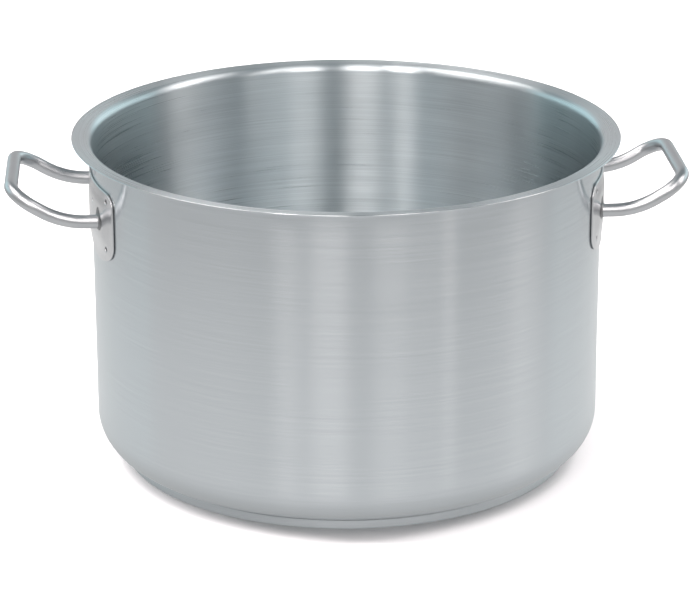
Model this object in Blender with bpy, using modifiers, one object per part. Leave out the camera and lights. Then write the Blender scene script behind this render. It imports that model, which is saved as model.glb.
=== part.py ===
"""Stainless steel stock pot: spun vessel with a pouring rim, capsule base, two welded tube handles.

Metres, +Z up. The origin is at the middle of the underside, on the surface that the pot stands on.
The handles lie along X and left is -X.
"""

import math

import bmesh
import bpy
from mathutils import Matrix, Vector

MM = 0.001
GAP = 0.3 * MM  # kept between pieces that touch

# Vessel
INNER_RADIUS = 225.0 * MM
SHEET = 1.0 * MM
OUTER_RADIUS = INNER_RADIUS + SHEET
HEIGHT = 295.0 * MM
CORNER_RADIUS = 34.0 * MM  # outside, between the wall and the floor
RIM_BEND_RADIUS = 7.0 * MM  # inside of the mouth, where the wall turns outwards
RIM_RISE = math.radians(4)  # slope of the pouring flange
LIP_RADIUS = 242.6 * MM
TURN_STEPS = 64

# Base
FLOOR_UNDERSIDE = 7.0 * MM
CAP_RADIUS = 203.0 * MM
CAP_SHEET = 0.6 * MM
CAP_EDGE_RADIUS = 2.0 * MM

# Handle plates: v runs sideways from the middle of the plate, z is the height
PLATE_SHEET = 1.5 * MM
PLATE_HALF_WIDTH = 93.0 * MM
PLATE_TOP = 267.3 * MM
PLATE_TOP_CORNER = 13.0 * MM
PLATE_LOBE_V = 61.0 * MM
PLATE_LOBE_Z = 202.2 * MM
PLATE_NOTCH_RISE = 10.0 * MM
PLATE_FLANK_V = 83.0 * MM
PLATE_FLANK_RISE = 5.0 * MM
PLATE_RAISE = 1.5 * MM  # how far the pressed middle stands off the wall
PLATE_RAISE_DIP = 0.35  # share of the raise that is missing at the middle
PLATE_RAISE_V = (70.0 * MM, 90.0 * MM)  # the raise is full inside the first and gone outside the second
PLATE_RAISE_Z = (206.0 * MM, 226.0 * MM)  # the raise starts at the first and is full from the second
PLATE_RAISE_TOP = (253.0 * MM, 265.0 * MM)  # and is gone again above the second of these

# Handle tubes
TUBE_RADIUS = 6.0 * MM
TUBE_WALL = 1.5 * MM
LEG_HALF_SPACING = 64.45 * MM
LEG_Z = 236.8 * MM
LEG_START_X = 212.0 * MM  # inside the plate, before the foot is cut to the plate's curve
LEG_BEND_X = 230.8 * MM
LEG_BEND_RADIUS = 73.6 * MM
LEG_BEND = math.radians(30.8)
LEG_RISER = 5.5 * MM
GRIP_CORNER_RADIUS = 25.0 * MM

# Welds
BEAD_LEG = 1.8 * MM
BEAD_PEAK = 3.0  # how much wider the bead is straight above the tube, as a share of its leg
SPOT_RADIUS = 1.9 * MM
SPOT_SINK = 0.7 * MM  # the electrode mark, below the plate's face
SPOTS = ((-81.0, 260.0), (-79.0, 216.4), (-45.0, 251.0), (45.0, 251.0), (79.0, 216.4), (81.0, 260.0))  # v, z in mm

SIDES = {"left": math.pi, "right": 0.0}


# ---------------------------------------------------------------- scene and materials


def clear_scene():
    for obj in list(bpy.data.objects):
        bpy.data.objects.remove(obj, do_unlink=True)


def new_collection(name):
    collection = bpy.data.collections.new(name)
    bpy.context.scene.collection.children.link(collection)
    return collection


def metal(name, colour, roughness):
    material = bpy.data.materials.new(name)
    material.use_nodes = True
    shader = material.node_tree.nodes["Principled BSDF"]
    shader.inputs["Base Color"].default_value = (*colour, 1.0)
    shader.inputs["Metallic"].default_value = 1.0
    shader.inputs["Roughness"].default_value = roughness
    return material


def add_object(name, mesh, material, collection):
    obj = bpy.data.objects.new(name, mesh)
    if material:
        mesh.materials.append(material)
    collection.objects.link(obj)
    return obj


def add_cutter(name, mesh):
    obj = add_object(name, mesh, None, CUTTERS)
    obj.hide_render = True
    obj.display_type = "WIRE"
    return obj


def boolean(obj, cutter, operation):
    modifier = obj.modifiers.new(operation.title(), "BOOLEAN")
    modifier.operation = operation
    modifier.object = cutter


def mesh_from(bm, name):
    mesh = bpy.data.meshes.new(name)
    bm.to_mesh(mesh)
    bm.free()
    return mesh


# ---------------------------------------------------------------- outlines


def arc(centre, radius, start, end, steps):
    """Points of an arc in a plane, from the angle start to the angle end, in degrees."""
    points = []
    for i in range(steps + 1):
        angle = math.radians(start + (end - start) * i / steps)
        points.append((centre[0] + radius * math.cos(angle), centre[1] + radius * math.sin(angle)))
    return points


def smooth_step(value, start, end):
    share = min(max((value - start) / (end - start), 0.0), 1.0)
    return share * share * (3 - 2 * share)


def vessel_profile():
    """The section of the vessel, from the inside of the floor over the lip to the underside."""
    corner = (OUTER_RADIUS - CORNER_RADIUS, FLOOR_UNDERSIDE + CORNER_RADIUS)
    rise = math.degrees(RIM_RISE)
    bend_r = INNER_RADIUS + RIM_BEND_RADIUS
    middle = RIM_BEND_RADIUS - SHEET / 2
    flange = (LIP_RADIUS - SHEET / 2 - bend_r + middle * math.sin(RIM_RISE)) / math.cos(RIM_RISE)
    bend = (
        bend_r,
        HEIGHT - SHEET / 2 - middle * math.cos(RIM_RISE) - flange * math.sin(RIM_RISE),
    )
    lip = (LIP_RADIUS - SHEET / 2, HEIGHT - SHEET / 2)
    inside = [(0.0, FLOOR_UNDERSIDE + SHEET)]
    inside += arc(corner, CORNER_RADIUS - SHEET, -90, 0, 8)
    inside += arc(bend, RIM_BEND_RADIUS, 180, 90 + rise, 5)
    edge = arc(lip, SHEET / 2, 90 + rise, rise - 90, 4)
    outside = arc(bend, RIM_BEND_RADIUS - SHEET, 90 + rise, 180, 5)
    outside += arc(corner, CORNER_RADIUS, 0, -90, 8)
    outside.append((0.0, FLOOR_UNDERSIDE))
    return inside + edge + outside


def cap_profile():
    """The section of the capsule: a shallow open cup that stops just under the vessel's corner."""
    centre = (CAP_RADIUS - CAP_EDGE_RADIUS, CAP_EDGE_RADIUS)
    top = underside_z(CAP_RADIUS - CAP_SHEET) - GAP
    inside = [(0.0, CAP_SHEET)]
    inside += arc(centre, CAP_EDGE_RADIUS - CAP_SHEET, -90, 0, 4)
    inside.append((CAP_RADIUS - CAP_SHEET, top))
    outside = [(CAP_RADIUS, top)]
    outside += arc(centre, CAP_EDGE_RADIUS, 0, -90, 4)
    outside.append((0.0, 0.0))
    return inside + outside


def core_profile():
    """The section of the disc, which fills the space between the floor and the capsule."""
    corner = (OUTER_RADIUS - CORNER_RADIUS, FLOOR_UNDERSIDE + CORNER_RADIUS)
    edge = (CAP_RADIUS - CAP_EDGE_RADIUS, CAP_EDGE_RADIUS)
    radius = CAP_RADIUS - CAP_SHEET - GAP
    reach = math.degrees(math.acos((radius - corner[0]) / (CORNER_RADIUS + GAP)))
    top = [(0.0, FLOOR_UNDERSIDE - GAP)]
    top += arc(corner, CORNER_RADIUS + GAP, -90, -reach, 3)
    side = arc(edge, CAP_EDGE_RADIUS - CAP_SHEET - GAP, 0, -90, 4)
    side.append((0.0, CAP_SHEET + GAP))
    return top + side


def underside_z(radius):
    """Height of the vessel's outside at this radius, on its corner."""
    across = radius - (OUTER_RADIUS - CORNER_RADIUS)
    return FLOOR_UNDERSIDE + CORNER_RADIUS - math.sqrt(CORNER_RADIUS**2 - across**2)


def plate_outline():
    """The plate seen square on, as (v, z) points all the way round."""
    curvature = PLATE_FLANK_RISE / (PLATE_FLANK_V - PLATE_LOBE_V) ** 2
    slope = math.atan(2 * curvature * (PLATE_FLANK_V - PLATE_LOBE_V))
    side_radius = (PLATE_HALF_WIDTH - PLATE_FLANK_V) / (1 - math.sin(slope))
    flank_z = PLATE_LOBE_Z + PLATE_FLANK_RISE
    low_centre = (PLATE_HALF_WIDTH - side_radius, flank_z + side_radius * math.cos(slope))
    top_centre = (PLATE_HALF_WIDTH - PLATE_TOP_CORNER, PLATE_TOP - PLATE_TOP_CORNER)
    half = []
    steps = 8
    for i in range(steps + 1):
        v = PLATE_LOBE_V * i / steps
        wave = 0.5 + 0.5 * math.cos(math.pi * v / PLATE_LOBE_V)
        half.append((v, PLATE_LOBE_Z + PLATE_NOTCH_RISE * wave))
    for i in range(1, 4):
        v = PLATE_LOBE_V + (PLATE_FLANK_V - PLATE_LOBE_V) * i / 4
        half.append((v, PLATE_LOBE_Z + curvature * (v - PLATE_LOBE_V) ** 2))
    half += arc(low_centre, side_radius, math.degrees(slope) - 90, 0, 6)
    half += arc(top_centre, PLATE_TOP_CORNER, 0, 90, 6)
    mirrored = [(-v, z) for v, z in reversed(half[1:])]
    return half + mirrored


def plate_radius(v, z):
    """Distance of the plate's inner face from the pot's axis."""
    side = 1 - smooth_step(abs(v), *PLATE_RAISE_V)
    dip = 1 - PLATE_RAISE_DIP * (1 - smooth_step(abs(v), 0.0, LEG_HALF_SPACING))
    tall = smooth_step(z, *PLATE_RAISE_Z) * (1 - smooth_step(z, *PLATE_RAISE_TOP))
    return OUTER_RADIUS + GAP + PLATE_RAISE * side * dip * tall


def handle_route(radius_start):
    """Centre line of one tube on the +X side, from its rear foot to its front foot."""
    half = [Vector((radius_start, LEG_HALF_SPACING, LEG_Z))]
    for x, z in arc((LEG_BEND_X, LEG_Z + LEG_BEND_RADIUS), LEG_BEND_RADIUS, -90, math.degrees(LEG_BEND) - 90, 5):
        half.append(Vector((x, LEG_HALF_SPACING, z)))
    climb = Vector((math.cos(LEG_BEND), 0.0, math.sin(LEG_BEND)))
    riser_top = half[-1] + climb * LEG_RISER
    for v, s in arc((LEG_HALF_SPACING - GRIP_CORNER_RADIUS, 0.0), GRIP_CORNER_RADIUS, 0, 90, 7):
        point = riser_top + climb * s
        half.append(Vector((point.x, v, point.z)))
    mirrored = [Vector((p.x, -p.y, p.z)) for p in reversed(half)]
    return half + mirrored


# ---------------------------------------------------------------- shapes


def turned(name, profile, steps, material, collection):
    """A profile in the XZ plane, turned about Z."""
    bm = bmesh.new()
    verts = [bm.verts.new((r, 0.0, z)) for r, z in profile]
    for first, second in zip(verts, verts[1:]):
        bm.edges.new((first, second))
    obj = add_object(name, mesh_from(bm, name), material, collection)
    screw = obj.modifiers.new("Screw", "SCREW")
    screw.axis = "Z"
    screw.steps = steps
    screw.render_steps = steps
    screw.use_merge_vertices = True
    screw.merge_threshold = 0.00001
    screw.use_smooth_shade = True
    return obj


def mesh_of_curve(curve_obj, name):
    """The curve's mesh with its caps welded on. The curve is removed."""
    graph = bpy.context.evaluated_depsgraph_get()
    mesh = bpy.data.meshes.new_from_object(curve_obj.evaluated_get(graph))
    mesh.name = name
    mesh.transform(curve_obj.matrix_world)
    bm = bmesh.new()
    bm.from_mesh(mesh)
    bmesh.ops.remove_doubles(bm, verts=bm.verts, dist=0.000001)
    bmesh.ops.recalc_face_normals(bm, faces=bm.faces)
    bm.to_mesh(mesh)
    bm.free()
    bpy.data.objects.remove(curve_obj, do_unlink=True)
    return mesh


def rod_mesh(name, route, radius, resolution):
    """A round rod along a route of points."""
    curve = bpy.data.curves.new(name, "CURVE")
    curve.dimensions = "3D"
    curve.bevel_depth = radius
    curve.bevel_resolution = resolution
    curve.use_fill_caps = True
    spline = curve.splines.new("POLY")
    spline.points.add(len(route) - 1)
    for point, place in zip(spline.points, route):
        point.co = (*place, 1.0)
    obj = bpy.data.objects.new(name, curve)
    bpy.context.scene.collection.objects.link(obj)
    bpy.context.view_layer.update()
    return mesh_of_curve(obj, name)


def outline_mesh(name, outline, near, far):
    """A flat (v, z) outline made a block that reaches from x = near to x = far."""
    curve = bpy.data.curves.new(name, "CURVE")
    curve.dimensions = "2D"
    curve.fill_mode = "BOTH"
    curve.extrude = (far - near) / 2
    spline = curve.splines.new("POLY")
    spline.points.add(len(outline) - 1)
    for point, (v, z) in zip(spline.points, outline):
        point.co = (v, z, 0.0, 1.0)
    spline.use_cyclic_u = True
    obj = bpy.data.objects.new(name, curve)
    bpy.context.scene.collection.objects.link(obj)
    upright = Matrix(((0, 0, 1, 0), (1, 0, 0, 0), (0, 1, 0, 0), (0, 0, 0, 1)))
    obj.matrix_world = Matrix.Translation(((near + far) / 2, 0, 0)) @ upright
    bpy.context.view_layer.update()
    return mesh_of_curve(obj, name)


def turn_to_side(obj, side):
    obj.rotation_euler.z = SIDES[side]


def make_vessel():
    turned("vessel_body", vessel_profile(), TURN_STEPS, SATIN_STEEL, POT)


def make_base():
    turned("base_core_disc", core_profile(), TURN_STEPS, ALUMINIUM, POT)
    turned("base_cap", cap_profile(), TURN_STEPS, CAP_STEEL, POT)


def spot_place(v, z):
    """Matrix that puts a spot weld's own Z axis square to the wall at this place of the plate."""
    angle = math.asin(v / OUTER_RADIUS)
    return Matrix.Rotation(angle, 4, "Z") @ Matrix.Translation((0, 0, z)) @ Matrix.Rotation(math.pi / 2, 4, "Y")


def make_plate(side):
    """A curved pressed sheet, cut to its outline, with a hole for each spot weld."""
    name = f"handle_plate_{side}"
    half_angle = math.radians(28)
    low = PLATE_LOBE_Z - 6 * MM
    high = PLATE_TOP + 6 * MM
    bm = bmesh.new()
    bmesh.ops.create_grid(bm, x_segments=26, y_segments=10, size=0.5)
    for vert in bm.verts:
        angle = vert.co.x * 2 * half_angle
        z = low + (vert.co.y + 0.5) * (high - low)
        radius = plate_radius(OUTER_RADIUS * math.sin(angle), z)
        vert.co = (radius * math.cos(angle), radius * math.sin(angle), z)
    bmesh.ops.recalc_face_normals(bm, faces=bm.faces)
    plate = add_object(name, mesh_from(bm, name), POLISHED_STEEL, POT)
    solidify = plate.modifiers.new("Solidify", "SOLIDIFY")
    solidify.thickness = PLATE_SHEET
    solidify.offset = 1.0 if plate.data.polygons[0].normal.x > 0 else -1.0
    outline = add_cutter(f"{name}_outline", outline_mesh(f"{name}_outline", plate_outline(), 0.15, 0.26))
    boolean(plate, outline, "INTERSECT")
    holes = bmesh.new()
    for v, z in SPOTS:
        place = spot_place(v * MM, z * MM)
        drill = Matrix.Translation((0, 0, OUTER_RADIUS + PLATE_SHEET))
        bmesh.ops.create_cone(
            holes,
            cap_ends=True,
            segments=16,
            radius1=SPOT_RADIUS + GAP,
            radius2=SPOT_RADIUS + GAP,
            depth=20 * MM,
            matrix=place @ drill,
        )
    drill_holes = add_cutter(f"{name}_holes", mesh_from(holes, f"{name}_holes"))
    boolean(plate, drill_holes, "DIFFERENCE")
    for obj in (plate, outline, drill_holes):
        turn_to_side(obj, side)


def make_spot_welds(side):
    """The nuggets between wall and plate, each dished by the electrode."""
    for number, (v, z) in enumerate(SPOTS, 1):
        face = plate_radius(v * MM, z * MM) + PLATE_SHEET - SPOT_SINK
        back = OUTER_RADIUS + GAP
        dish = 0.3 * MM
        profile = [
            (0.0, face - dish),
            (SPOT_RADIUS * 0.6, face - dish * 0.6),
            (SPOT_RADIUS, face),
            (SPOT_RADIUS, back),
            (0.0, back),
        ]
        weld = turned(f"spot_weld_{side}_{number}", profile, 12, WELD_STEEL, POT)
        weld.matrix_world = Matrix.Rotation(SIDES[side], 4, "Z") @ spot_place(v * MM, z * MM)


def make_tube(side):
    """A bent tube whose feet are cut to the curve of the plate."""
    name = f"handle_tube_{side}"
    tube = add_object(name, rod_mesh(name, handle_route(LEG_START_X), TUBE_RADIUS, 4), TUBE_STEEL, POT)
    bore_route = handle_route(LEG_START_X - 4 * MM)
    bore = add_cutter(f"{name}_bore", rod_mesh(f"{name}_bore", bore_route, TUBE_RADIUS - TUBE_WALL, 2))
    boolean(tube, bore, "DIFFERENCE")
    saddle = bmesh.new()
    bmesh.ops.create_cone(
        saddle,
        cap_ends=True,
        segments=180,
        radius1=foot_radius(),
        radius2=foot_radius(),
        depth=60 * MM,
        matrix=Matrix.Translation((0, 0, LEG_Z)),
    )
    saddle_cutter = add_cutter(f"{name}_saddle", mesh_from(saddle, f"{name}_saddle"))
    boolean(tube, saddle_cutter, "DIFFERENCE")
    tube.data.shade_smooth()
    for obj in (tube, bore):
        turn_to_side(obj, side)


def foot_radius():
    """Distance from the pot's axis at which a tube foot and its weld start."""
    return plate_radius(LEG_HALF_SPACING, LEG_Z) + PLATE_SHEET + GAP


def make_bead(side, end, sign):
    """A ring of weld round a tube foot, laid on the curve of the plate."""
    name = f"handle_weld_{side}_{end}"
    inner = TUBE_RADIUS + GAP
    profile = [
        (inner, 0.0),
        (inner, BEAD_LEG),
        (inner + BEAD_LEG * 0.3, BEAD_LEG * 0.45),
        (inner + BEAD_LEG, 0.0),
    ]
    bm = bmesh.new()
    verts = [bm.verts.new((height, distance, 0.0)) for distance, height in profile]
    ring = [bm.edges.new(pair) for pair in zip(verts, verts[1:] + verts[:1])]
    bmesh.ops.spin(
        bm,
        geom=verts + ring,
        cent=(0, 0, 0),
        axis=(1, 0, 0),
        angle=2 * math.pi,
        steps=20,
        use_merge=True,
    )
    bmesh.ops.remove_doubles(bm, verts=bm.verts, dist=0.00001)
    for vert in bm.verts:
        distance = math.hypot(vert.co.y, vert.co.z)
        peak = max(vert.co.z / distance, 0.0) ** 6
        stretch = (inner + (distance - inner) * (1 + BEAD_PEAK * peak)) / distance
        y = sign * LEG_HALF_SPACING + vert.co.y * stretch
        z = LEG_Z + vert.co.z * stretch
        vert.co = (vert.co.x + math.sqrt(foot_radius() ** 2 - y * y), y, z)
    bmesh.ops.recalc_face_normals(bm, faces=bm.faces)
    bead = add_object(name, mesh_from(bm, name), WELD_STEEL, POT)
    bead.data.shade_smooth()
    turn_to_side(bead, side)


clear_scene()
POT = new_collection("stock_pot")
CUTTERS = new_collection("cutters")
SATIN_STEEL = metal("satin_steel", (0.56, 0.58, 0.59), 0.34)
CAP_STEEL = metal("cap_steel", (0.52, 0.54, 0.55), 0.38)
ALUMINIUM = metal("aluminium", (0.72, 0.72, 0.73), 0.5)
POLISHED_STEEL = metal("polished_steel", (0.62, 0.63, 0.64), 0.1)
TUBE_STEEL = metal("tube_steel", (0.62, 0.63, 0.64), 0.14)
WELD_STEEL = metal("weld_steel", (0.42, 0.42, 0.43), 0.4)

make_vessel()
make_base()
for pot_side in SIDES:
    make_plate(pot_side)
    make_spot_welds(pot_side)
    make_tube(pot_side)
    for tube_end, tube_sign in (("front", -1), ("rear", 1)):
        # The left handle is the right one turned half round, so its front foot is at +v.
        turned_sign = tube_sign if pot_side == "right" else -tube_sign
        make_bead(pot_side, tube_end, turned_sign)
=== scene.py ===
"""Looks of a wide stainless steel stock pot: smooth sheet metal, brushed and polished steel, studio light.

Metres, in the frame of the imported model: +Z up, the handles along X, the origin under the base.
"""

import math

import bmesh
import bpy
from mathutils import Matrix, Vector
from mathutils.geometry import delaunay_2d_cdt


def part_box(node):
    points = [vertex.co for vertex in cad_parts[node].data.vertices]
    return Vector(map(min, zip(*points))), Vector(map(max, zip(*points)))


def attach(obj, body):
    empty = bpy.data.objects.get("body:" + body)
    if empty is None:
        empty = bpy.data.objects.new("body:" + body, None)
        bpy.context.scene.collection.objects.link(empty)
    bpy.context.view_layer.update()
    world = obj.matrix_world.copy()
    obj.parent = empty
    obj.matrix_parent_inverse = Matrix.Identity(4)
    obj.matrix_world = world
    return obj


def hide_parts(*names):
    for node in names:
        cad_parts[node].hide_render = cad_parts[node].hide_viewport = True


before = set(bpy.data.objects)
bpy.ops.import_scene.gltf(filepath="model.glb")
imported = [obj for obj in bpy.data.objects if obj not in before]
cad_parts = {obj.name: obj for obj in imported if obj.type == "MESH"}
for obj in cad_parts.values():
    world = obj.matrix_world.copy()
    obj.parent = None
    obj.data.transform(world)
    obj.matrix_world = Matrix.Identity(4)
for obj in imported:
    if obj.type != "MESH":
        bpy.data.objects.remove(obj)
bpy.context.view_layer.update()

# ---------------------------------------------------------------- sizes, from the frame where it has them

MM = 0.001

VESSEL_LOW, VESSEL_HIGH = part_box("vessel_body")
_, CAP_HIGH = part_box("base_cap")
HEIGHT = VESSEL_HIGH.z
LIP_RADIUS = VESSEL_HIGH.y
FLOOR_UNDERSIDE = VESSEL_LOW.z
CAP_RADIUS = CAP_HIGH.x
CAP_TOP = CAP_HIGH.z

# the vessel's sheet, and the capsule under it
SHEET = 1.0 * MM
OUTER_RADIUS = 226.0 * MM
INNER_RADIUS = OUTER_RADIUS - SHEET
CORNER_RADIUS = 34.0 * MM
RIM_BEND_RADIUS = 7.0 * MM
RIM_RISE = math.radians(4)
CAP_SHEET = 0.6 * MM
CAP_EDGE_RADIUS = 2.0 * MM
TURN_STEPS = 288

# a handle plate, laid out in v, the distance from the handle's middle plane, and z
PLATE_SHEET = 1.5 * MM
PLATE_GAP = 0.3 * MM
PLATE_EDGE = 0.6 * MM
PLATE_EDGE_STEPS = 5
PLATE_MESH_PITCH = 2.2 * MM
PLATE_HALF_WIDTH = 93.0 * MM
PLATE_TOP = 267.3 * MM
PLATE_TOP_CORNER = 13.0 * MM
PLATE_LOBE_V = 61.0 * MM
PLATE_LOBE_Z = 202.2 * MM
PLATE_NOTCH_RISE = 10.0 * MM
PLATE_FLANK_V = 83.0 * MM
PLATE_FLANK_RISE = 5.0 * MM
# how far the plate bulges off the wall: a little less in the middle, and fading out between these places
PLATE_RAISE = 1.5 * MM
PLATE_RAISE_DIP = 0.35
PLATE_RAISE_V = (70.0 * MM, 90.0 * MM)
PLATE_RAISE_Z = (206.0 * MM, 226.0 * MM)
PLATE_RAISE_TOP = (253.0 * MM, 265.0 * MM)

# a handle tube: two legs that bend upwards, and the grip across their ends
TUBE_RADIUS = 5.97 * MM
TUBE_SIDES = 40
TUBE_CREASE = math.radians(50)
FOOT_START = OUTER_RADIUS - 9.0 * MM
LEG_HALF_SPACING = 64.45 * MM
LEG_Z = 236.8 * MM
LEG_BEND_X = 230.8 * MM
LEG_BEND_RADIUS = 73.6 * MM
LEG_BEND = math.radians(30.8)
LEG_RISER = 5.5 * MM
GRIP_CORNER_RADIUS = 25.0 * MM

# the weld bead round a tube foot, which runs out upwards into a point
BEAD_LEG = 1.7 * MM
BEAD_PEAK = 3.0
BEAD_GAP = 0.1 * MM
BEAD_ROOT = 0.15 * MM
BEAD_AROUND = 96
BEAD_ACROSS = 10

# the spot welds, with their places on a plate as (v, z) in mm
SPOT_RADIUS = 1.9 * MM
SPOT_SINK = 0.7 * MM
SPOT_SOFT = 0.3 * MM
SPOT_DISH = 0.25 * MM
SPOT_SIDES = 28
SPOT_STEPS = 6
SPOTS = (
    (-81.0, 260.0),
    (-79.0, 216.4),
    (-45.0, 251.0),
    (45.0, 251.0),
    (79.0, 216.4),
    (81.0, 260.0),
)

SIDES = {"left": math.pi, "right": 0.0}

# ---------------------------------------------------------------- camera

VIEW_AZIMUTH = math.radians(-6.08)
VIEW_ELEVATION = math.radians(19.549)
VIEW_ROLL = math.radians(0.61)
VIEW_DISTANCE = 2.7495
VIEW_AIM_Z = 0.1405
# the photograph is cropped to one side of its lens's axis, so the camera steps aside and shifts back
VIEW_SIDESTEP = 0.1025
VIEW_SHIFT = -0.15852
LENS = 156.67
SENSOR_WIDTH = 36.0


def add_camera():
    """The photograph's view, as the scene's camera."""
    back = Vector(
        (
            math.sin(VIEW_AZIMUTH) * math.cos(VIEW_ELEVATION),
            -math.cos(VIEW_AZIMUTH) * math.cos(VIEW_ELEVATION),
            math.sin(VIEW_ELEVATION),
        )
    )
    right = Vector((math.cos(VIEW_AZIMUTH), math.sin(VIEW_AZIMUTH), 0.0))
    data = bpy.data.cameras.new("camera")
    data.lens = LENS
    data.sensor_width = SENSOR_WIDTH
    data.shift_x = VIEW_SHIFT
    data.clip_start = 0.05
    data.clip_end = 50.0
    camera = bpy.data.objects.new("camera", data)
    bpy.context.scene.collection.objects.link(camera)
    camera.location = Vector((0.0, 0.0, VIEW_AIM_Z)) + back * VIEW_DISTANCE + right * VIEW_SIDESTEP
    turn = Matrix.Rotation(VIEW_AZIMUTH, 3, "Z") @ Matrix.Rotation(math.pi / 2 - VIEW_ELEVATION, 3, "X")
    camera.rotation_euler = (turn @ Matrix.Rotation(VIEW_ROLL, 3, "Z")).to_euler()
    bpy.context.scene.camera = camera


# ---------------------------------------------------------------- node helpers


class Nodes:
    """A material's or world's node tree, with short ways to add and join nodes."""

    def __init__(self, tree):
        self.tree = tree

    def add(self, kind, **settings):
        node = self.tree.nodes.new(kind)
        for key, value in settings.items():
            setattr(node, key, value)
        return node

    def link(self, source, target):
        self.tree.links.new(source, target)

    def feed(self, socket, value):
        if isinstance(value, bpy.types.NodeSocket):
            self.link(value, socket)
        else:
            socket.default_value = value

    def math(self, operation, first, second=0.0):
        node = self.add("ShaderNodeMath", operation=operation)
        self.feed(node.inputs[0], first)
        self.feed(node.inputs[1], second)
        return node.outputs[0]

    def sum(self, first, second):
        return self.math("ADD", first, second)

    def product(self, first, second):
        return self.math("MULTIPLY", first, second)

    def swing(self, factor, size):
        """The factor, which lies round 0.5, as a swing of this size round 0."""
        return self.product(self.math("SUBTRACT", factor, 0.5), size)

    def object_place(self):
        return self.add("ShaderNodeTexCoord").outputs["Object"]

    def combine(self, x, y, z):
        node = self.add("ShaderNodeCombineXYZ")
        for socket, value in zip(node.inputs, (x, y, z)):
            self.feed(socket, value)
        return node.outputs[0]

    def noise(self, vector, scale, detail, roughness):
        node = self.add("ShaderNodeTexNoise")
        self.link(vector, node.inputs["Vector"])
        node.inputs["Scale"].default_value = scale
        node.inputs["Detail"].default_value = detail
        node.inputs["Roughness"].default_value = roughness
        return node.outputs["Fac"]

    def ramp(self, factor, stops):
        node = self.add("ShaderNodeValToRGB")
        elements = node.color_ramp.elements
        while len(elements) < len(stops):
            elements.new(0.5)
        for element, (position, colour) in zip(elements, stops):
            element.position = position
            element.color = (*colour, 1.0)
        self.link(factor, node.inputs["Fac"])
        return node.outputs["Color"]

    def map_range(self, value, low, high, to_low, to_high):
        node = self.add("ShaderNodeMapRange", clamp=True)
        for index, number in enumerate((value, low, high, to_low, to_high)):
            self.feed(node.inputs[index], number)
        return node.outputs[0]

    def split(self, vector):
        node = self.add("ShaderNodeSeparateXYZ")
        self.link(vector, node.inputs[0])
        return node.outputs

    def bump(self, height, distance, shader):
        node = self.add("ShaderNodeBump")
        node.inputs["Strength"].default_value = 1.0
        node.inputs["Distance"].default_value = distance
        self.link(height, node.inputs["Height"])
        self.link(node.outputs[0], shader.inputs["Normal"])


# ---------------------------------------------------------------- kinds of metal

# brushing lines: scale round the pot, scale along its section, detail and share in the mix
BRUSHING = ((1.5, 1400.0, 1.0, 0.5), (1.4, 620.0, 2.0, 0.25), (4.0, 900.0, 1.0, 0.25))
# soft clouds in the gloss, in the same way, without a share
CLOUDS = (1.6, 9.0, 2.0)
NOISE_ROUGHNESS = 0.6
# where a mix of noises leaves its dark tint and reaches its light one
TINT_LOW = 0.35
TINT_HIGH = 0.65
# a quarter turn: it smears the gloss across the brushing lines
GLOSS_TURN = 0.25
# polishing marks: how fine they are along each axis, and the tilt of their direction in radians
POLISH_SCALE = (900.0, 900.0, 120.0)
POLISH_TILT = (0.3, 0.2, 0.0)
# patches in buffed steel, and the share of the colour in their dark parts
PATCH_SCALE = 45.0
PATCH_DARK = 0.94
# the share of the colour in the dark parts of a grain, and how much its gloss swings either way
GRAIN_DARK = 0.75
GRAIN_GLOSS = 0.08


def round_the_pot(nodes):
    """(unit direction x, unit direction y, distance along the pot's section) at a point."""
    x, y, z = nodes.split(nodes.object_place())
    radius = nodes.math("SQRT", nodes.sum(nodes.product(x, x), nodes.product(y, y)))
    radius = nodes.math("MAXIMUM", radius, 1e-4)
    return nodes.math("DIVIDE", x, radius), nodes.math("DIVIDE", y, radius), nodes.sum(z, radius)


def steel_base(name, colour, roughness, anisotropy=0.0):
    """A metal with its nodes and its shader, still plain."""
    material = bpy.data.materials.new(name)
    material.use_nodes = True
    nodes = Nodes(material.node_tree)
    shader = material.node_tree.nodes["Principled BSDF"]
    shader.inputs["Base Color"].default_value = (*colour, 1.0)
    shader.inputs["Metallic"].default_value = 1.0
    shader.inputs["Roughness"].default_value = roughness
    shader.inputs["Anisotropic"].default_value = anisotropy
    shader.inputs["Anisotropic Rotation"].default_value = GLOSS_TURN
    return material, nodes, shader


def brushed_round(name, colour, roughness, anisotropy, streak, scratch, bump_height):
    """Steel brushed round the pot: fine hoop lines, and gloss smeared across them in uneven soft clouds."""
    material, nodes, shader = steel_base(name, colour, roughness, anisotropy)
    east, north, along = round_the_pot(nodes)

    def lines(round_scale, along_scale, detail):
        vector = nodes.combine(
            nodes.product(east, round_scale),
            nodes.product(north, round_scale),
            nodes.product(along, along_scale),
        )
        return nodes.noise(vector, 1.0, detail, NOISE_ROUGHNESS)

    mixed = 0.0
    for round_scale, along_scale, detail, share in BRUSHING:
        mixed = nodes.sum(mixed, nodes.product(lines(round_scale, along_scale, detail), share))
    low = tuple(c * (1 - streak) for c in colour)
    high = tuple(c * (1 + streak) for c in colour)
    tint = nodes.ramp(mixed, ((TINT_LOW, low), (TINT_HIGH, high)))
    nodes.link(tint, shader.inputs["Base Color"])
    rough = nodes.sum(roughness, nodes.swing(lines(*CLOUDS), scratch))
    rough = nodes.sum(rough, nodes.swing(mixed, scratch * 2))
    nodes.link(rough, shader.inputs["Roughness"])
    tangent = nodes.add("ShaderNodeTangent", direction_type="RADIAL", axis="Z")
    nodes.link(tangent.outputs[0], shader.inputs["Tangent"])
    nodes.bump(mixed, bump_height, shader)
    return material


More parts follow.
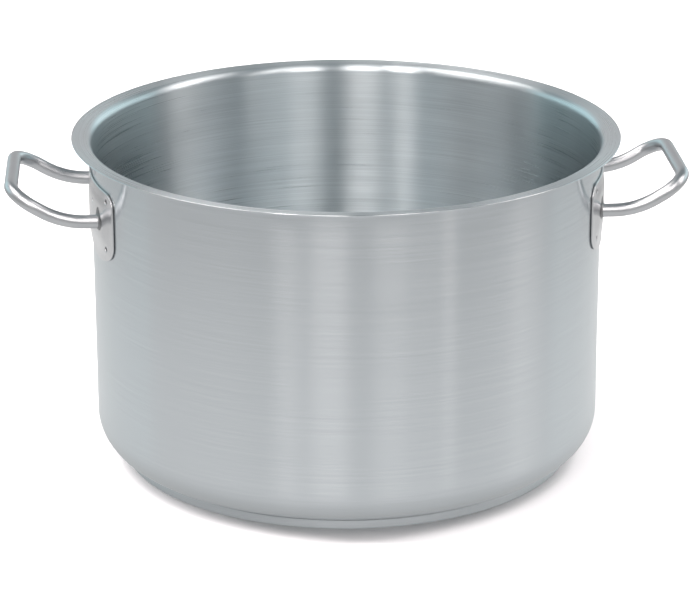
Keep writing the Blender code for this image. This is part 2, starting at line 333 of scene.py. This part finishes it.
def polished(name, colour, roughness, scratch, bump_height):
    """Buffed steel: nearly a mirror, with faint wandering polishing marks."""
    material, nodes, shader = steel_base(name, colour, roughness)
    place = nodes.object_place()
    stretch = nodes.add("ShaderNodeMapping")
    stretch.inputs["Scale"].default_value = POLISH_SCALE
    stretch.inputs["Rotation"].default_value = POLISH_TILT
    nodes.link(place, stretch.inputs["Vector"])
    marks = nodes.noise(stretch.outputs[0], 1.0, 3.0, NOISE_ROUGHNESS)
    patches = nodes.noise(place, PATCH_SCALE, 2.0, 0.5)
    tint = nodes.ramp(patches, ((0.3, tuple(c * PATCH_DARK for c in colour)), (0.7, colour)))
    nodes.link(tint, shader.inputs["Base Color"])
    rough = nodes.sum(roughness, nodes.swing(marks, scratch))
    nodes.link(rough, shader.inputs["Roughness"])
    nodes.bump(marks, bump_height, shader)
    return material


def grainy(name, colour, roughness, scale, bump_height):
    """Dull cast or welded metal with a fine uneven grain."""
    material, nodes, shader = steel_base(name, colour, roughness)
    grain = nodes.noise(nodes.object_place(), scale, 4.0, NOISE_ROUGHNESS)
    tint = nodes.ramp(grain, ((0.3, tuple(c * GRAIN_DARK for c in colour)), (0.7, colour)))
    nodes.link(tint, shader.inputs["Base Color"])
    rough = nodes.map_range(grain, 0.3, 0.7, roughness - GRAIN_GLOSS, roughness + GRAIN_GLOSS)
    nodes.link(rough, shader.inputs["Roughness"])
    nodes.bump(grain, bump_height, shader)
    return material


# ---------------------------------------------------------------- outlines


def arc(centre, radius, start, end, steps):
    """Points of an arc in a plane, from the angle start to the angle end, in degrees."""
    points = []
    for i in range(steps + 1):
        angle = math.radians(start + (end - start) * i / steps)
        points.append((centre[0] + radius * math.cos(angle), centre[1] + radius * math.sin(angle)))
    return points


def spaced(start, end, steps):
    """Points between two points, without either of them."""
    return [
        (start[0] + (end[0] - start[0]) * i / steps, start[1] + (end[1] - start[1]) * i / steps)
        for i in range(1, steps)
    ]


def smooth_step(value, start, end):
    """0 up to the start and 1 from the end on, with a smooth rise between them."""
    share = min(max((value - start) / (end - start), 0.0), 1.0)
    return share * share * (3 - 2 * share)


def vessel_profile():
    """The vessel's section as (points, how many of them are inside the pot)."""
    corner = (OUTER_RADIUS - CORNER_RADIUS, FLOOR_UNDERSIDE + CORNER_RADIUS)
    rise = math.degrees(RIM_RISE)
    bend_r = INNER_RADIUS + RIM_BEND_RADIUS
    middle = RIM_BEND_RADIUS - SHEET / 2
    flange = (LIP_RADIUS - SHEET / 2 - bend_r + middle * math.sin(RIM_RISE)) / math.cos(RIM_RISE)
    bend = (bend_r, HEIGHT - SHEET / 2 - middle * math.cos(RIM_RISE) - flange * math.sin(RIM_RISE))
    lip = (LIP_RADIUS - SHEET / 2, HEIGHT - SHEET / 2)
    floor = (0.0, FLOOR_UNDERSIDE + SHEET)
    inner_corner = arc(corner, CORNER_RADIUS - SHEET, -90, 0, 20)
    inner_bend = arc(bend, RIM_BEND_RADIUS, 180, 90 + rise, 14)
    edge = arc(lip, SHEET / 2, 90 + rise, rise - 90, 10)
    outer_bend = arc(bend, RIM_BEND_RADIUS - SHEET, 90 + rise, 180, 14)
    outer_corner = arc(corner, CORNER_RADIUS, 0, -90, 20)
    inside = [floor] + spaced(floor, inner_corner[0], 16) + inner_corner
    inside += spaced(inner_corner[-1], inner_bend[0], 16) + inner_bend
    inside += spaced(inner_bend[-1], edge[0], 4)
    outside = edge + spaced(edge[-1], outer_bend[0], 4) + outer_bend
    outside += spaced(outer_bend[-1], outer_corner[0], 16) + outer_corner
    underside = (0.0, FLOOR_UNDERSIDE)
    outside += spaced(outer_corner[-1], underside, 8) + [underside]
    return inside + outside, len(inside)


def cap_profile():
    """The capsule's section, from its top on the axis, over its edge, to its underside."""
    centre = (CAP_RADIUS - CAP_EDGE_RADIUS, CAP_EDGE_RADIUS)
    lip = CAP_SHEET / 2
    inner = arc(centre, CAP_EDGE_RADIUS - CAP_SHEET, -90, 0, 8)
    edge = arc((CAP_RADIUS - lip, CAP_TOP - lip), lip, 180, 0, 8)
    outer = arc(centre, CAP_EDGE_RADIUS, 0, -90, 10)
    start = (0.0, CAP_SHEET)
    end = (0.0, 0.0)
    return [start] + spaced(start, inner[0], 10) + inner + edge + outer + spaced(outer[-1], end, 10) + [end]


def plate_outline():
    """The plate seen square on, as (v, z) points all the way round, counter-clockwise."""
    curvature = PLATE_FLANK_RISE / (PLATE_FLANK_V - PLATE_LOBE_V) ** 2
    slope = math.atan(2 * curvature * (PLATE_FLANK_V - PLATE_LOBE_V))
    side_radius = (PLATE_HALF_WIDTH - PLATE_FLANK_V) / (1 - math.sin(slope))
    flank_z = PLATE_LOBE_Z + PLATE_FLANK_RISE
    low_centre = (PLATE_HALF_WIDTH - side_radius, flank_z + side_radius * math.cos(slope))
    top_centre = (PLATE_HALF_WIDTH - PLATE_TOP_CORNER, PLATE_TOP - PLATE_TOP_CORNER)
    half = []
    for i in range(41):
        v = PLATE_LOBE_V * i / 40
        wave = 0.5 + 0.5 * math.cos(math.pi * v / PLATE_LOBE_V)
        half.append((v, PLATE_LOBE_Z + PLATE_NOTCH_RISE * wave))
    for i in range(1, 16):
        v = PLATE_LOBE_V + (PLATE_FLANK_V - PLATE_LOBE_V) * i / 16
        half.append((v, PLATE_LOBE_Z + curvature * (v - PLATE_LOBE_V) ** 2))
    low_corner = arc(low_centre, side_radius, math.degrees(slope) - 90, 0, 16)
    top_corner = arc(top_centre, PLATE_TOP_CORNER, 0, 90, 16)
    half += low_corner + spaced(low_corner[-1], top_corner[0], 20) + top_corner
    half += spaced(top_corner[-1], (0.0, PLATE_TOP), 54) + [(0.0, PLATE_TOP)]
    mirrored = [(-v, z) for v, z in reversed(half[1:-1])]
    return half + mirrored


def plate_radius(v, z):
    """Distance of the plate's inner face from the pot's axis."""
    side = 1 - smooth_step(abs(v), *PLATE_RAISE_V)
    dip = 1 - PLATE_RAISE_DIP * (1 - smooth_step(abs(v), 0.0, LEG_HALF_SPACING))
    tall = smooth_step(z, *PLATE_RAISE_Z) * (1 - smooth_step(z, *PLATE_RAISE_TOP))
    return OUTER_RADIUS + PLATE_GAP + PLATE_RAISE * side * dip * tall


def handle_route():
    """Centre line of one tube on the +X side, from its rear foot to its front foot."""
    leg = LEG_BEND_X - FOOT_START
    half = [Vector((FOOT_START + leg * i / 4, LEG_HALF_SPACING, LEG_Z)) for i in range(4)]
    centre = (LEG_BEND_X, LEG_Z + LEG_BEND_RADIUS)
    for x, z in arc(centre, LEG_BEND_RADIUS, -90, math.degrees(LEG_BEND) - 90, 16):
        half.append(Vector((x, LEG_HALF_SPACING, z)))
    climb = Vector((math.cos(LEG_BEND), 0.0, math.sin(LEG_BEND)))
    riser_top = half[-1] + climb * LEG_RISER
    grip_half = LEG_HALF_SPACING - GRIP_CORNER_RADIUS
    for v, rise in arc((grip_half, 0.0), GRIP_CORNER_RADIUS, 0, 90, 24):
        point = riser_top + climb * rise
        half.append(Vector((point.x, v, point.z)))
    grip = half[-1]
    half += [Vector((grip.x, grip_half * (1 - i / 6), grip.z)) for i in range(1, 6)]
    mirrored = [Vector((p.x, -p.y, p.z)) for p in reversed(half)]
    return half + mirrored


# ---------------------------------------------------------------- mesh building


def add_piece(name, verts, faces, materials, face_slots=None):
    """A smooth shaded object in the scene."""
    mesh = bpy.data.meshes.new(name)
    mesh.from_pydata(verts, [], faces)
    mesh.update()
    for material in materials:
        mesh.materials.append(material)
    if face_slots:
        mesh.polygons.foreach_set("material_index", face_slots)
    mesh.shade_smooth()
    obj = bpy.data.objects.new(name, mesh)
    bpy.context.scene.collection.objects.link(obj)
    return obj


def turned(name, profile, materials, slot_of=None):
    """A profile turned about Z. It starts and ends on the axis."""
    verts = []
    faces = []
    slots = []
    ring = []
    for r, z in profile:
        if r == 0.0:
            ring.append([len(verts)] * TURN_STEPS)
            verts.append((0.0, 0.0, z))
            continue
        ring.append(list(range(len(verts), len(verts) + TURN_STEPS)))
        for step in range(TURN_STEPS):
            angle = 2 * math.pi * step / TURN_STEPS
            verts.append((r * math.cos(angle), r * math.sin(angle), z))
    for index, (first, second) in enumerate(zip(ring, ring[1:])):
        # a ring on the axis is one point, so its quads lose their doubled corners and become triangles
        for step in range(TURN_STEPS):
            after = (step + 1) % TURN_STEPS
            corners = [first[step], first[after], second[after], second[step]]
            faces.append(tuple(dict.fromkeys(corners)))
            slots.append(slot_of(index) if slot_of else 0)
    return add_piece(name, verts, faces, materials, slots)


def on_plate(v, z, depth):
    """The place at this depth of the plate's sheet, 0 on its inner face."""
    angle = math.asin(v / (OUTER_RADIUS + PLATE_GAP))
    radius = plate_radius(v, z) + depth
    return (radius * math.cos(angle), radius * math.sin(angle), z)


def inset(loop, distance):
    """The loop moved into the material, which lies to its left."""
    moved = []
    for index, (v, z) in enumerate(loop):
        before = loop[index - 1]
        after = loop[(index + 1) % len(loop)]
        run = Vector((after[0] - before[0], after[1] - before[1])).normalized()
        moved.append((v - run.y * distance, z + run.x * distance))
    return moved


def inside_loop(point, loop):
    """Whether a ray from the point towards +x crosses the loop an odd number of times."""
    x, y = point
    inside = False
    for (x1, y1), (x2, y2) in zip(loop, loop[1:] + loop[:1]):
        if (y1 > y) != (y2 > y) and x < (x2 - x1) * (y - y1) / (y2 - y1) + x1:
            inside = not inside
    return inside


def fill_plan(loops, centres, hole_radius):
    """Fills the first loop, less the round holes, over a fine even grid.

    Returns the points, the triangles, and which point came from which one of the loops' points.
    """
    points = []
    edges = []
    for loop in loops:
        start = len(points)
        points += [Vector(p) for p in loop]
        edges += [(start + i, start + (i + 1) % len(loop)) for i in range(len(loop))]
    boundary = len(points)
    pitch = PLATE_MESH_PITCH
    well_inside = inset(loops[0], pitch * 0.5)
    for column in range(int(2 * PLATE_HALF_WIDTH / pitch) + 1):
        for row in range(int((PLATE_TOP - PLATE_LOBE_Z) / pitch) + 2):
            point = (
                -PLATE_HALF_WIDTH + (column + 0.5 * (row % 2)) * pitch,
                PLATE_LOBE_Z + row * pitch * 0.9,
            )
            clear = all(math.dist(point, centre) > hole_radius + pitch * 0.7 for centre in centres)
            if clear and inside_loop(point, well_inside):
                points.append(Vector(point))
    placed, _, triangles, origin, _, _ = delaunay_2d_cdt(points, edges, [], 0, 1e-7)
    kept = []
    for triangle in triangles:
        middle = sum((placed[i] for i in triangle), Vector((0.0, 0.0))) / 3
        in_hole = any(math.dist(middle, centre) < hole_radius * 0.99 for centre in centres)
        if inside_loop(middle, loops[0]) and not in_hole:
            kept.append(triangle)
    source = {new: old[0] for new, old in enumerate(origin) if old and old[0] < boundary}
    return placed, kept, source


def make_plate(side, material):
    """The pressed sheet: both faces, its edges and the holes of the spot welds, as one closed mesh."""
    centres = [(v * MM, z * MM) for v, z in SPOTS]
    hole_radius = SPOT_RADIUS + PLATE_GAP
    loops = [plate_outline()]
    for v, z in centres:
        loops.append([(v + x, z + y) for x, y in arc((0.0, 0.0), hole_radius, 0, -360, 24)[:-1]])
    # the rounded edge as (inset from the outline, depth), from the inner face to the outer one
    levels = []
    for i in range(PLATE_EDGE_STEPS + 1):
        angle = math.pi / 2 * i / PLATE_EDGE_STEPS
        levels.append((PLATE_EDGE * (1 - math.sin(angle)), PLATE_EDGE * (1 - math.cos(angle))))
    levels += [(distance, PLATE_SHEET - depth) for distance, depth in reversed(levels)]
    verts = []
    faces = []
    ends = [{}, {}]
    start_of_loop = 0
    for loop in loops:
        rings = []
        for distance, depth in levels:
            rings.append(list(range(len(verts), len(verts) + len(loop))))
            verts += [on_plate(v, z, depth) for v, z in inset(loop, distance)]
        for lower, upper in zip(rings, rings[1:]):
            for i in range(len(loop)):
                after = (i + 1) % len(loop)
                faces.append((lower[i], lower[after], upper[after], upper[i]))
        for i in range(len(loop)):
            ends[0][start_of_loop + i] = rings[0][i]
            ends[1][start_of_loop + i] = rings[-1][i]
        start_of_loop += len(loop)
    face_loops = [inset(loop, PLATE_EDGE) for loop in loops]
    placed, triangles, source = fill_plan(face_loops, centres, hole_radius + PLATE_EDGE)
    for end, depth in ((0, 0.0), (1, PLATE_SHEET)):
        index_of = {}
        for i, point in enumerate(placed):
            if i in source:
                index_of[i] = ends[end][source[i]]
            else:
                index_of[i] = len(verts)
                verts.append(on_plate(point.x, point.y, depth))
        for triangle in triangles:
            corners = [index_of[i] for i in triangle]
            faces.append(tuple(corners if end else reversed(corners)))
    return tidy_mesh(add_piece(f"plate_{side}", verts, faces, [material]), side)


def tidy_mesh(obj, side=None):
    """Drops loose points, faces the surface outwards, and turns the piece to its side of the pot."""
    bm = bmesh.new()
    bm.from_mesh(obj.data)
    loose = [vert for vert in bm.verts if not vert.link_faces]
    bmesh.ops.delete(bm, geom=loose, context="VERTS")
    bmesh.ops.recalc_face_normals(bm, faces=bm.faces)
    bm.to_mesh(obj.data)
    bm.free()
    if side:
        obj.data.transform(Matrix.Rotation(SIDES[side], 4, "Z"))
    obj.data.shade_smooth()
    return obj


def make_tube(side, material):
    """A round tube along the handle's route. Each foot follows the curve of the plate."""
    route = handle_route()
    verts = []
    faces = []
    for index, place in enumerate(route):
        before = route[max(index - 1, 0)]
        after = route[min(index + 1, len(route) - 1)]
        run = (after - before).normalized()
        across = Vector((0.0, 0.0, 1.0)) - run * run.z
        across.normalize()
        other = run.cross(across)
        foot = index in (0, len(route) - 1)
        for step in range(TUBE_SIDES):
            angle = 2 * math.pi * step / TUBE_SIDES
            point = place + (across * math.cos(angle) + other * math.sin(angle)) * TUBE_RADIUS
            if foot:
                surface = plate_radius(point.y, point.z) + PLATE_SHEET + PLATE_GAP
                point.x = math.sqrt(surface**2 - point.y**2)
            verts.append(point)
    for index in range(len(route) - 1):
        lower = index * TUBE_SIDES
        upper = lower + TUBE_SIDES
        for step in range(TUBE_SIDES):
            after = (step + 1) % TUBE_SIDES
            faces.append((lower + step, lower + after, upper + after, upper + step))
    faces.append(tuple(range(TUBE_SIDES)))
    faces.append(tuple(reversed(range(len(verts) - TUBE_SIDES, len(verts)))))
    tube = tidy_mesh(add_piece(f"tube_{side}", verts, faces, [material]), side)
    tube.data.set_sharp_from_angle(angle=TUBE_CREASE)
    return tube


def make_bead(side, end, sign, material):
    """A fillet of weld round a tube foot, with the soft ripple of the torch. Its dark material adds painted
    shade and a painted dark reflection of the tube to the weld's own tint.
    """
    verts = []
    faces = []
    for step in range(BEAD_AROUND):
        angle = 2 * math.pi * step / BEAD_AROUND
        # 22 small ripples round the foot, over three slow ones
        ripple = 1 + 0.05 * math.sin(angle * 22) + 0.04 * math.sin(angle * 3 + 1)
        leg = BEAD_LEG * ripple
        wide = leg * (1 + BEAD_PEAK * max(math.cos(angle), 0.0) ** 6)
        inner = TUBE_RADIUS + BEAD_GAP
        section = [(inner, BEAD_ROOT)]
        for i in range(BEAD_ACROSS + 1):
            turn = math.pi / 2 * i / BEAD_ACROSS
            section.append((inner + wide * (1 - math.sin(turn)), leg * (1 - math.cos(turn))))
        for distance, height in section:
            y = sign * LEG_HALF_SPACING + distance * math.sin(angle)
            z = LEG_Z + distance * math.cos(angle)
            surface = plate_radius(y, z) + PLATE_SHEET + BEAD_GAP
            verts.append((math.sqrt(surface**2 - y * y) + height, y, z))
    count = BEAD_ACROSS + 2
    for step in range(BEAD_AROUND):
        this = step * count
        after = (step + 1) % BEAD_AROUND * count
        for i in range(count):
            j = (i + 1) % count
            faces.append((this + i, this + j, after + j, after + i))
    return tidy_mesh(add_piece(f"weld_{side}_{end}", verts, faces, [material]), side)


def spot_profile(back, face):
    """The plug's section, from its back edge, over a soft front edge, to the bottom of its dish."""
    profile = [(SPOT_RADIUS, back)]
    for i in range(SPOT_STEPS + 1):
        turn = math.pi / 2 * i / SPOT_STEPS
        radius = SPOT_RADIUS - SPOT_SOFT * (1 - math.cos(turn))
        profile.append((radius, face - SPOT_SOFT * (1 - math.sin(turn))))
    dish_radius = SPOT_RADIUS - SPOT_SOFT
    for i in range(1, SPOT_STEPS + 1):
        share = 1 - i / SPOT_STEPS
        profile.append((dish_radius * share, face - SPOT_DISH * (1 - share**2)))
    return profile


def make_spot(side, number, material):
    """One nugget: a short plug, dished by the electrode, with a soft rim."""
    v, z = (size * MM for size in SPOTS[number - 1])
    face = plate_radius(v, z) + PLATE_SHEET - SPOT_SINK
    profile = spot_profile(OUTER_RADIUS + PLATE_GAP, face)
    verts = []
    faces = []
    for radius, height in profile[:-1]:
        for step in range(SPOT_SIDES):
            angle = 2 * math.pi * step / SPOT_SIDES
            verts.append((radius * math.cos(angle), radius * math.sin(angle), height))
    verts.append((0.0, 0.0, profile[-1][1]))
    last = (len(profile) - 2) * SPOT_SIDES
    for lower in range(0, last, SPOT_SIDES):
        upper = lower + SPOT_SIDES
        for step in range(SPOT_SIDES):
            after = (step + 1) % SPOT_SIDES
            faces.append((lower + step, lower + after, upper + after, upper + step))
    for step in range(SPOT_SIDES):
        faces.append((last + step, last + (step + 1) % SPOT_SIDES, len(verts) - 1))
    faces.append(tuple(reversed(range(SPOT_SIDES))))
    spot = add_piece(f"spot_{side}_{number}", verts, faces, [material])
    lay_flat = Matrix.Rotation(math.pi / 2, 4, "Y")
    swing = Matrix.Rotation(math.asin(v / OUTER_RADIUS), 4, "Z")
    spot.data.transform(swing @ Matrix.Translation((0, 0, z)) @ lay_flat)
    return tidy_mesh(spot, side)


def keep(piece, node):
    """Puts the piece in the place of a CAD node. Nothing moves, so all of them ride on the root."""
    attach(piece, "root")
    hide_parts(node)


# ---------------------------------------------------------------- materials

# colour, roughness, smear of the gloss, strength of the streaks in colour and in gloss, and bump height
SATIN_OUTSIDE = brushed_round("satin_outside", (0.57, 0.60, 0.62), 0.225, 1.0, 0.03, 0.035, 0.025 * MM)
SATIN_INSIDE = brushed_round("satin_inside", (0.56, 0.605, 0.625), 0.305, 1.0, 0.09, 0.12, 0.06 * MM)
CAP_STEEL = brushed_round("cap_steel", (0.53, 0.56, 0.58), 0.42, 0.6, 0.05, 0.06, 0.02 * MM)
# colour, roughness, strength of the marks in the gloss, and bump height
PLATE_STEEL = polished("plate_steel", (0.62, 0.625, 0.635), 0.22, 0.05, 0.01 * MM)
TUBE_STEEL = polished("tube_steel", (0.51, 0.52, 0.535), 0.32, 0.03, 0.002 * MM)
# colour, roughness, scale of the grain, and bump height
# dark welds: partly the weld metal's own heat tint, partly painted shade in the gaps round the spot welds
# and a painted dark reflection of the tube round each foot
WELD_TINT_AND_PAINTED_SHADE = grainy("weld_steel", (0.27, 0.275, 0.28), 0.40, 900.0, 0.05 * MM)
ALUMINIUM = grainy("aluminium", (0.74, 0.74, 0.75), 0.5, 400.0, 0.05 * MM)

# ---------------------------------------------------------------- pieces

points, inside_count = vessel_profile()
skins = [SATIN_OUTSIDE, SATIN_INSIDE]
vessel = turned("vessel", points, skins, lambda index: 1 if index < inside_count else 0)
keep(tidy_mesh(vessel), "vessel_body")

cap = turned("capsule", cap_profile(), [CAP_STEEL])
keep(tidy_mesh(cap), "base_cap")

for pot_side in SIDES:
    keep(make_plate(pot_side, PLATE_STEEL), f"handle_plate_{pot_side}")
    keep(make_tube(pot_side, TUBE_STEEL), f"handle_tube_{pot_side}")
    for tube_end, tube_sign in (("front", -1), ("rear", 1)):
        # the left handle is the right one turned half round, which swaps its front and rear
        sign = tube_sign if pot_side == "right" else -tube_sign
        bead = make_bead(pot_side, tube_end, sign, WELD_TINT_AND_PAINTED_SHADE)
        keep(bead, f"handle_weld_{pot_side}_{tube_end}")
    for spot_number in range(1, len(SPOTS) + 1):
        # the dark weld material paints shade in the gap round each spot weld, on top of its own tint
        spot_piece = make_spot(pot_side, spot_number, WELD_TINT_AND_PAINTED_SHADE)
        keep(spot_piece, f"spot_weld_{pot_side}_{spot_number}")

# the hidden disc keeps its CAD shape
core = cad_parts["base_core_disc"]
core.data.materials.clear()
core.data.materials.append(ALUMINIUM)

# ---------------------------------------------------------------- floor and light

FLOOR_HALF_WIDTH = 12.0
FLOOR_WHITE = 0.85
# how bright the steel sees the floor, by distance from the pot's axis: the floor glows at this level for
# every ray but the camera's, a painted reflection of the lit floor, darker close to the base as painted
# shade
FLOOR_REFLECTION_GLOW = ((0.20, 0.56), (0.24, 0.75), (0.29, 0.89), (0.65, 0.89), (1.0, 0.67), (1.3, 0.55))
# colours of the lamps that light the floor, the softboxes and the dim panels
FLOOR_LIGHT = (1.0, 0.955, 0.965)
LAMP_COLOUR = (1.08, 1.0, 0.97)
GLOW_COLOUR = (0.45, 1.0, 1.08)
# colour of the room by elevation in degrees
ROOM = (
    (-90.0, (0.48, 0.49, 0.50)),
    (25.0, (0.48, 0.49, 0.50)),
    (45.0, (0.25, 0.30, 0.32)),
    (90.0, (0.26, 0.31, 0.33)),
)
# the lamps over the pot, which light the floor: width, depth, place and power in watts
OVERHEAD = (
    (9.0, 2.0, (-7.5, 1.5, 6.0), 1700.0),
    (9.0, 2.0, (7.5, 1.5, 6.0), 1080.0),
    (14.0, 14.0, (0.0, 0.0, 8.0), 1040.0),
)
# how wide the soft edges of a softbox are, in degrees
EDGE_ACROSS = 3.0
EDGE_UP = 6.0
# softboxes round the pot: azimuth, half width, elevation, half height (degrees) and brightness.
# Azimuth 0 is in front of the pot, at -Y, and 90 is at +X.
SOFTBOXES = (
    (-12.0, 8.5, 45.0, 25.0, 4.7),
    (-12.0, 6.0, 8.0, 12.0, 0.25),
    (17.0, 8.0, 38.0, 12.0, 6.4),
    (36.0, 7.0, 48.0, 20.0, 3.2),
    (-35.0, 4.0, 50.0, 16.0, 17.0),
    (-69.0, 18.0, 42.0, 18.0, 0.6),
    (-89.0, 3.0, 42.0, 16.0, 1.9),
    (81.0, 7.5, 38.0, 18.0, 3.8),
    (97.0, 9.0, 50.0, 17.0, 3.2),
    (-105.0, 40.0, 60.0, 16.0, 3.2),
    (82.0, 8.0, 8.0, 12.0, 0.8),
    (41.0, 3.0, 8.0, 12.0, 1.4),
    (125.0, 25.0, 8.0, 12.0, 0.4),
    (135.0, 47.0, 8.0, 24.0, 0.16),
    (-135.0, 47.0, 8.0, 24.0, 0.16),
)
# dim cool panels behind the pot's sides, listed in the same way
GLOWS = (
    (126.0, 30.0, 12.0, 18.0, 0.45),
    (-130.0, 30.0, 12.0, 18.0, 0.54),
)


def add_floor():
    """A plain pale sheet. The camera sees it white; for every other ray it glows in soft greys, a painted
    reflection of the lit floor.
    """
    mesh = bpy.data.meshes.new("floor")
    half = FLOOR_HALF_WIDTH
    corners = [(-half, -half, 0), (half, -half, 0), (half, half, 0), (-half, half, 0)]
    mesh.from_pydata(corners, [], [(0, 1, 2, 3)])
    floor = bpy.data.objects.new("floor", mesh)
    bpy.context.scene.collection.objects.link(floor)
    material = bpy.data.materials.new("floor_white")
    material.use_nodes = True
    nodes = Nodes(material.node_tree)
    shader = material.node_tree.nodes["Principled BSDF"]
    distance = nodes.add("ShaderNodeVectorMath", operation="LENGTH")
    nodes.link(nodes.object_place(), distance.inputs[0])
    reach = FLOOR_REFLECTION_GLOW[-1][0]
    share = nodes.math("DIVIDE", distance.outputs["Value"], reach)
    reflection_glow = nodes.ramp(share, [(radius / reach, (level,) * 3) for radius, level in FLOOR_REFLECTION_GLOW])
    seen = nodes.add("ShaderNodeLightPath").outputs["Is Camera Ray"]
    nodes.link(nodes.product(seen, FLOOR_WHITE), shader.inputs["Base Color"])
    # painted light: for every ray but the camera's the floor glows with the reflection greys, darker beside
    # the base as painted shade
    shader.inputs["Emission Color"].default_value = (1.0, 1.0, 1.0, 1.0)
    nodes.link(nodes.map_range(seen, 0.0, 1.0, reflection_glow, 0.0), shader.inputs["Emission Strength"])
    shader.inputs["Roughness"].default_value = 0.9
    shader.inputs["Specular IOR Level"].default_value = 0.0
    mesh.materials.append(material)


def window(nodes, value, middle, half, edge):
    """1 where the value, in radians, is within half degrees of the middle, falling to 0 over the edge."""
    away = nodes.math("ABSOLUTE", nodes.math("SUBTRACT", value, math.radians(middle)))
    node = nodes.add("ShaderNodeMapRange", interpolation_type="SMOOTHSTEP")
    outer = math.radians(half + edge / 2)
    inner = math.radians(half - edge / 2)
    for index, number in enumerate((away, outer, inner, 0.0, 1.0)):
        nodes.feed(node.inputs[index], number)
    return node.outputs[0]


def add_world():
    """A soft room with softboxes round the pot, which the steel shows as upright bands.

    It doesn't light the floor: the lamps do that.
    """
    world = bpy.data.worlds.new("studio")
    bpy.context.scene.world = world
    world.use_nodes = True
    nodes = Nodes(world.node_tree)
    x, y, z = nodes.split(nodes.add("ShaderNodeTexCoord").outputs["Generated"])
    azimuth = nodes.math("ARCTAN2", x, nodes.product(y, -1.0))
    elevation = nodes.math("ARCSINE", z)
    share = nodes.map_range(elevation, -math.pi / 2, math.pi / 2, 0.0, 1.0)
    light = nodes.ramp(share, [((degrees + 90) / 180, colour) for degrees, colour in ROOM])
    for boxes, colour in ((SOFTBOXES, LAMP_COLOUR), (GLOWS, GLOW_COLOUR)):
        total = 0.0
        for middle, half, height, half_height, strength in boxes:
            across = window(nodes, azimuth, middle, half, EDGE_ACROSS)
            up = window(nodes, elevation, height, half_height, EDGE_UP)
            total = nodes.sum(total, nodes.product(nodes.product(across, up), strength))
        lamps = nodes.add("ShaderNodeVectorMath", operation="SCALE")
        lamps.inputs[0].default_value = colour
        nodes.link(total, lamps.inputs["Scale"])
        both = nodes.add("ShaderNodeVectorMath", operation="ADD")
        nodes.link(light, both.inputs[0])
        nodes.link(lamps.outputs[0], both.inputs[1])
        light = both.outputs[0]
    nodes.link(light, world.node_tree.nodes["Background"].inputs["Color"])
    world.cycles_visibility.diffuse = False


def add_overhead():
    """A strip lamp high on each side and a wide soft one above. They light the floor.

    The steel doesn't show them.
    """
    for width, depth, place, power in OVERHEAD:
        data = bpy.data.lights.new("overhead", "AREA")
        data.shape = "RECTANGLE"
        data.size = width
        data.size_y = depth
        data.energy = power
        data.color = FLOOR_LIGHT
        lamp = bpy.data.objects.new("overhead", data)
        lamp.location = place
        lamp.visible_glossy = False
        lamp.visible_camera = False
        bpy.context.scene.collection.objects.link(lamp)


add_camera()
add_floor()
add_world()
add_overhead()
bpy.context.scene.view_settings.view_transform = "Standard"
